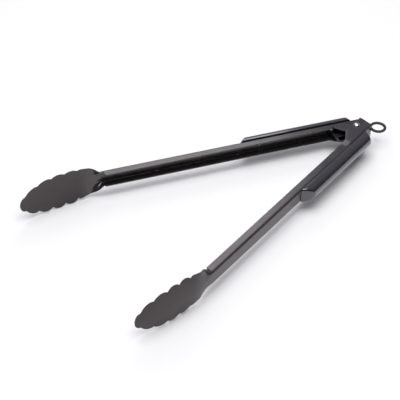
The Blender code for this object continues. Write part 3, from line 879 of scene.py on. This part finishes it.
def carrier_mesh(name, side, margin, below):
    """The carrier's block or, with a margin, the pocket round it."""
    base = options("arm").web_face + GAP
    low = (CARRIER_SPAN[0] - margin, base - below)
    high = (CARRIER_SPAN[1] + margin, base + CARRIER_SHEET + margin)
    half = CARRIER_HALF_HEIGHT + margin
    return prism_mesh(name, box_outline(low, high), -half, half, on_arm(side))


def grip_rivet_mesh(name, side, x):
    """A lathe turned about the out direction: pan head inside the channel, then the shank."""
    arm, grip = options("arm"), options("grip")
    inner_face = arm.web_face - arm.sheet - GAP
    shank_end = arm.web_face + CARRIER_SHEET - inner_face
    head, rise = grip.rivet_head, GRIP_RIVET_RISE
    dome = [(head * math.cos(a), -rise * math.sin(a) ** 0.8) for a in np.radians(np.linspace(88, 0, 10))]
    profile = [(0.0002, -rise)] + dome + [(grip.rivet, 0), (grip.rivet, shank_end)]
    rings = lathe_rings(profile, 40)[..., (0, 2, 1)] + (x, inner_face, 0)
    return tube_mesh(name, rings, on_arm(side))


def painted_shade_rivet(name, centre):
    """A rivet that carries the arm's own dark coated finish, as painted shade for the channel's shadow
    where it sits.
    """
    return coated_steel(name, math.pi)


# The front rivets sit deep in the channel and take the dark coat as painted shade; the rear ones stay
# polished.
GRIP_RIVET_FINISH = {"front": painted_shade_rivet, "rear": polished_rivet}


class TongsBuildGrips(bpy.types.Operator):
    """Builds the soft grips, the nylon carriers inside them and the rivets that hold them"""

    bl_idname = "tongs.build_grips"
    bl_label = "Grips"

    def execute(self, context):
        rubber = soft_grip("moulded_thermoplastic_rubber")
        nylon = moulded_plastic("carrier_nylon", options("finish").nylon, 0.5, 0.0005)
        for name, side in SIDES.items():
            grip = name + "_grip"
            pocket = carrier_mesh("pocket", side, GAP, POCKET_BELOW)
            add_rigid(grip, cut(grip_mesh(grip, side), pocket), rubber)
            carrier = carrier_mesh(grip, side, 0, 0)
            web, radius = options("arm").web_face, options("grip").rivet + GAP
            tools = [
                round_tool(radius, CARRIER_CUTTER_REACH, (x, web, 0), side, about_out=True)
                for x in GRIP_RIVETS.values()
            ]
            add_rigid(grip + "_carrier", cut(carrier, joined(tools)), nylon)
            for place, x in GRIP_RIVETS.items():
                node = grip + "_rivet_" + place
                centre = to_world(np.array([x, 0.0, 0.0]), side)
                steel = GRIP_RIVET_FINISH[place](node + "_steel", centre)
                add_rigid(node, grip_rivet_mesh(node, side, x), steel)
        return {"FINISHED"}


# --- Pivot --------------------------------------------------------------------------------------


def plate_outside():
    arm = options("arm")
    return arm.half_height + arm.sheet + PLATE_CLEARANCE


def lathe_mesh(name, profile, closed=False):
    """A profile of (radius, height) turned about the pivot axis."""
    return tube_mesh(name, lathe_rings(profile, 96), lambda points: points + PIVOT, closed)


def pivot_rivet_profile():
    """Upset tail, shank, and a head whose outline is a circle's arc with a small rounded foot."""
    pivot = options("pivot")
    top = plate_outside() + GAP
    tail = -plate_outside() - 2 * GAP - WASHER[1]
    sphere = (pivot.head**2 + pivot.head_rise**2) / (2 * pivot.head_rise)
    reach = math.degrees(math.asin(pivot.head / sphere))
    dome = arc((0, top + pivot.head_rise - sphere), sphere, 90 - reach, 89.5, 24).tolist()
    upset = [(radius, tail + drop) for radius, drop in UPSET]
    return upset + [(pivot.rivet, tail), (pivot.rivet, top), (pivot.head - 0.0002, top)] + dome


def tube_profile(inner, outer, low, high):
    return [(inner, low), (outer, low), (outer, high), (inner, high)]


def spring_path():
    """Middle line of the wire about the pivot: along the far web to the coil, round it at a steady
    rise, and out along the near web. The legs leave the coil along its tangents."""
    arm, pivot = options("arm"), options("pivot")
    leg_out = arm.web_face - arm.sheet - GAP - pivot.wire / 2
    low = options("lock").sheet / 2 + 2 * GAP + pivot.wire / 2
    far_end = complex(pivot.leg, leg_out)
    lean = math.asin(pivot.coil / abs(far_end))
    far_turn = math.atan2(leg_out, pivot.leg) - lean + math.pi / 2
    near_turn = -arm.open_angle - math.atan2(leg_out, pivot.leg) + lean - math.pi / 2
    sweep = far_turn - near_turn + 2 * math.pi
    turned = np.linspace(0, sweep, 260)
    angle = far_turn - turned
    height = low + pivot.pitch * turned / (2 * math.pi)
    coil = np.column_stack([pivot.coil * np.cos(angle), pivot.coil * np.sin(angle), height])
    near_end = far_end.conjugate() * complex(math.cos(-arm.open_angle), math.sin(-arm.open_angle))
    far_start = np.array([far_end.real, far_end.imag, low])
    near_stop = np.array([near_end.real, near_end.imag, height[-1]])
    steps = np.linspace(0, 1, 12, endpoint=False)[:, None]
    far_leg = far_start + (coil[0] - far_start) * steps
    near_leg = coil[-1] + (near_stop - coil[-1]) * np.linspace(0, 1, 13)[1:, None]
    return np.concatenate([far_leg, coil, near_leg]), height


def wire_rings(path, radius, around=16):
    """A circle carried along a path: its centre on the path, in the plane across the tangent."""
    tangent = np.gradient(path, axis=0)
    tangent /= np.linalg.norm(tangent, axis=1, keepdims=True)
    sideways = np.cross((0.0, 0.0, 1.0), tangent)
    sideways /= np.linalg.norm(sideways, axis=1, keepdims=True)
    upward = np.cross(tangent, sideways)
    angle = np.linspace(0, 2 * math.pi, around, endpoint=False)
    circle = sideways[:, None] * np.cos(angle)[:, None] + upward[:, None] * np.sin(angle)[:, None]
    return path[:, None] + radius * circle


class TongsBuildPivot(bpy.types.Operator):
    """Builds the domed pivot rivet with its sleeve, spool, spacer and washer, and the torsion spring"""

    bl_idname = "tongs.build_pivot"
    bl_label = "Pivot"

    def execute(self, context):
        pivot = options("pivot")
        inside = options("arm").half_height - options("arm").sheet - GAP
        slide = options("lock").sheet / 2 + GAP
        steel = polished_rivet("tumbled_stainless_steel", PIVOT)
        nylon = moulded_plastic("spacer_nylon", options("finish").nylon, 0.5, 0.0004)
        rivet = lathe_mesh("pivot_rivet", pivot_rivet_profile())
        add_rigid("pivot_rivet", rivet, steel)
        washer_low = -plate_outside() - GAP - WASHER[1]
        rings = {
            "pivot_sleeve": (tube_profile(*SLEEVE, -inside, inside), steel),
            "spring_spool": (tube_profile(*SPOOL, slide, inside), nylon),
            "lower_spacer": (tube_profile(SPOOL[0], SPACER_RADIUS, -inside, -slide), nylon),
            "tail_washer": (
                tube_profile(pivot.rivet + GAP, WASHER[0], washer_low, washer_low + WASHER[1]), steel
            ),
        }
        for node, (profile, material) in rings.items():
            add_rigid(node, lathe_mesh(node, profile, closed=True), material, SMALL_BEVEL)
        self.build_spring(pivot)
        return {"FINISHED"}

    def build_spring(self, pivot):
        path, height = spring_path()
        rings = wire_rings(path * (1, -1, 1), pivot.wire / 2)
        mesh = tube_mesh("torsion_spring", rings, turned_far)
        spring = add_piece("torsion_spring", mesh, drawn_wire("hard_drawn_spring_wire"))
        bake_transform(spring)


def turned_far(points):
    """The far arm's own frame, with y towards the near arm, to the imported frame."""
    return to_world(points * (1, -1, 1), SIDES["far"])


# --- Lock ---------------------------------------------------------------------------------------


def tail_end():
    """Where the slide's tail ends inside the ring's band."""
    lock = options("lock")
    return -lock.ring_centre + lock.ring_outer - lock.ring_band + TAIL_IN_RING


def slide_outline():
    """Outline of the lock slide about the far arm's centre line, y away from the near arm."""
    lock = options("lock")
    body, neck, tail_half = SLIDE_WIDTHS["body"], SLIDE_WIDTHS["neck"], SLIDE_WIDTHS["tail"]
    joint = math.degrees(math.asin(tail_half / body))
    tail = tail_end()
    hook_tip, hook_back, front = SLIDE_HOOK
    shoulder_x = lock.travel + SLIDE_SHOULDER[0]
    sides = []
    for side in (1, -1):
        inner, outer = HOOK_REACH[side]
        run = [(tail, tail_half)] + arc((0, 0), body, 180 - joint, 90, 20).tolist()
        run += [(shoulder_x, body), (shoulder_x + SLIDE_SHOULDER[1], neck), (hook_back, neck)]
        run += [(hook_back, inner), (hook_tip, inner), (hook_tip, outer), (front, outer)]
        sides.append([(x, side * y) for x, y in run])
    return np.array(sides[0] + sides[1][::-1])


def ring_profile():
    """Section of the pull ring's band: a rectangle whose corners are quarter circles."""
    lock = options("lock")
    low, high = lock.ring_outer - lock.ring_band + RING_CORNER, lock.ring_outer - RING_CORNER
    top = lock.ring_half - RING_CORNER
    centres = [((high, top), 0), ((low, top), 90), ((low, -top), 180), ((high, -top), 270)]
    return np.concatenate([arc(centre, RING_CORNER, start, start + 90, 8) for centre, start in centres])


class TongsBuildLock(bpy.types.Operator):
    """Builds the lock slide with its two hooks and the pull ring on its tail"""

    bl_idname = "tongs.build_lock"
    bl_label = "Lock"

    def execute(self, context):
        lock = options("lock")
        outline = slide_outline() * (1, -1)
        half = SPOOL[0]
        slot = np.concatenate([arc((0, 0), half, 90, 270, 24), arc((lock.travel, 0), half, -90, 90, 24)])
        slide = prism_mesh("lock_slide", outline, -lock.sheet / 2, lock.sheet / 2, turned_far)
        slide = cut(slide, prism_mesh("slot", slot, -CUTTER_REACH, CUTTER_REACH, turned_far))
        metal = blackened_steel("blackened_stamped_steel")
        add_rigid("lock_slide", slide, metal, SMALL_BEVEL)
        rings = lathe_rings(ring_profile(), 120) - (lock.ring_centre, 0, 0)
        ring = tube_mesh("pull_ring", rings, turned_far, closed=True)
        half = SLIDE_WIDTHS["tail"] + GAP
        height = lock.sheet / 2 + GAP
        pocket = box_outline((tail_end() - GAP, -half), (RING_POCKET_END, half))
        pocket = prism_mesh("pocket", pocket, -height, height, turned_far)
        plastic = moulded_plastic("ring_moulded_nylon", options("finish").ring, 0.48, 0.0005)
        add_rigid("pull_ring", cut(ring, pocket), plastic)
        return {"FINISHED"}


# --- Stage --------------------------------------------------------------------------------------


def floor_material(code):
    """Painted board under the studio lights. The eye sees an even pale surface with hardly any tooth."""
    material, tree, shader = new_material("painted_board", Roughness=0.8, Specular_IOR_Level=0.1)
    plain = coordinates(tree)
    # Roller texture of 2 mm.
    tooth = noise(tree, plain, 0.002, 2.0, 0.5)
    stops = [(0.0, shade(code, 0.985)), (1.0, shade(code, 1.0))]
    tree.links.new(ramp(tree, to_range(tree, tooth, 0.0, 1.0), stops), shader.inputs["Base Color"])
    return material


def room_light(stage):
    """Soft room light by direction: dim on the camera's side and round the horizon, brighter towards
    the wall and ceiling behind the tongs. The share is the cosine to the way to the rear softbox."""
    world = bpy.data.worlds.new("room")
    world.use_nodes = True
    tree = world.node_tree
    background = tree.nodes["Background"]
    direction = add_node(tree, "ShaderNodeTexCoord").outputs["Generated"]
    to_rear = Vector(REAR_SOFTBOX).normalized()
    rear = add_node(tree, "ShaderNodeVectorMath", {"operation": "DOT_PRODUCT"}, i0=direction, i1=to_rear)
    across = map_range(tree, rear.outputs["Value"], (-1.0, 1.0), (0.0, 1.0))
    stops = [(0.0, linear(stage.wall)), (0.55, linear(stage.wall)), (0.85, linear(stage.ceiling))]
    tree.links.new(ramp(tree, across, stops), background.inputs["Color"])
    background.inputs["Strength"].default_value = stage.sky
    return world


def area_light(name, power, size, place, target):
    data = bpy.data.lights.new(name, "AREA")
    data.shape = "RECTANGLE"
    data.size = data.size_y = size
    data.energy = power
    light = bpy.data.objects.new(name, data)
    light.location = place
    light.rotation_euler = (Vector(target) - Vector(place)).to_track_quat("-Z", "Y").to_euler()
    bpy.context.scene.collection.objects.link(light)


def camera_matrix(stage):
    """Looks at a point between the arms from the given azimuth and elevation, with a small roll."""
    a, e, r = stage.azimuth, stage.elevation, stage.roll
    back = Vector((math.sin(a) * math.cos(e), -math.cos(a) * math.cos(e), math.sin(e)))
    level = Vector((math.cos(a), math.sin(a), 0))
    upright = back.cross(level)
    right = level * math.cos(r) + upright * math.sin(r)
    up = upright * math.cos(r) - level * math.sin(r)
    target = Vector(PIVOT) + Vector(VIEW_CENTRE)
    place = target + back * stage.distance
    turn = Matrix((right, up, back)).transposed().to_4x4()
    return Matrix.Translation(place) @ turn


class TongsBuildStage(bpy.types.Operator):
    """Lays the floor and sets the softboxes, the room light and the camera"""

    bl_idname = "tongs.build_stage"
    bl_label = "Stage"

    def execute(self, context):
        scene = context.scene
        stage = options("stage")
        half = FLOOR_HALF
        corners = [(x, y, 0) for x, y in box_outline((-half, -half), (half, half))]
        floor_mesh = mesh_from("floor", corners, [(0, 1, 2, 3)])
        floor_mesh.materials.append(floor_material(stage.floor))
        floor = bpy.data.objects.new("floor", floor_mesh)
        scene.collection.objects.link(floor)
        area_light("overhead_softbox", stage.softbox, OVERHEAD_SIZE, OVERHEAD_SOFTBOX, (0, 0, 0))
        area_light("rear_softbox", stage.rear_light, REAR_SIZE, REAR_SOFTBOX, REAR_TARGET)
        scene.world = room_light(stage)
        scene.view_settings.view_transform = "Standard"
        camera = bpy.data.objects.new("camera", bpy.data.cameras.new("camera"))
        camera.data.sensor_width = 36
        camera.data.lens = stage.lens
        camera.data.clip_end = 50
        camera.matrix_world = camera_matrix(stage)
        scene.collection.objects.link(camera)
        scene.camera = camera
        return {"FINISHED"}


# --- Panel and run ------------------------------------------------------------------------------

STEPS = (TongsBuildArms, TongsBuildGrips, TongsBuildPivot, TongsBuildLock, TongsBuildStage)


class TONGS_PT_panel(bpy.types.Panel):
    """Buttons and settings for the tongs in the 3D view's sidebar"""

    bl_idname = "TONGS_PT_panel"
    bl_label = "Tongs"
    bl_space_type = "VIEW_3D"
    bl_region_type = "UI"
    bl_category = "Tongs"

    def draw(self, context):
        column = self.layout.column(align=True)
        for step in STEPS:
            column.operator(step.bl_idname)
        for group in GROUPS:
            settings = getattr(context.scene, group)
            box = self.layout.box()
            for name in settings.bl_rna.properties.keys():
                if name not in ("rna_type", "name"):
                    box.prop(settings, name)


CLASSES = (*GROUPS.values(), *STEPS, TONGS_PT_panel)


def register():
    for item in CLASSES:
        bpy.utils.register_class(item)
    for name, group in GROUPS.items():
        setattr(bpy.types.Scene, name, PointerProperty(type=group))


def unregister():
    for name in GROUPS:
        delattr(bpy.types.Scene, name)
    for item in reversed(CLASSES):
        bpy.utils.unregister_class(item)


def main():
    register()
    for step in STEPS:
        group, name = step.bl_idname.split(".")
        getattr(getattr(bpy.ops, group), name)()


if __name__ == "__main__":
    main()
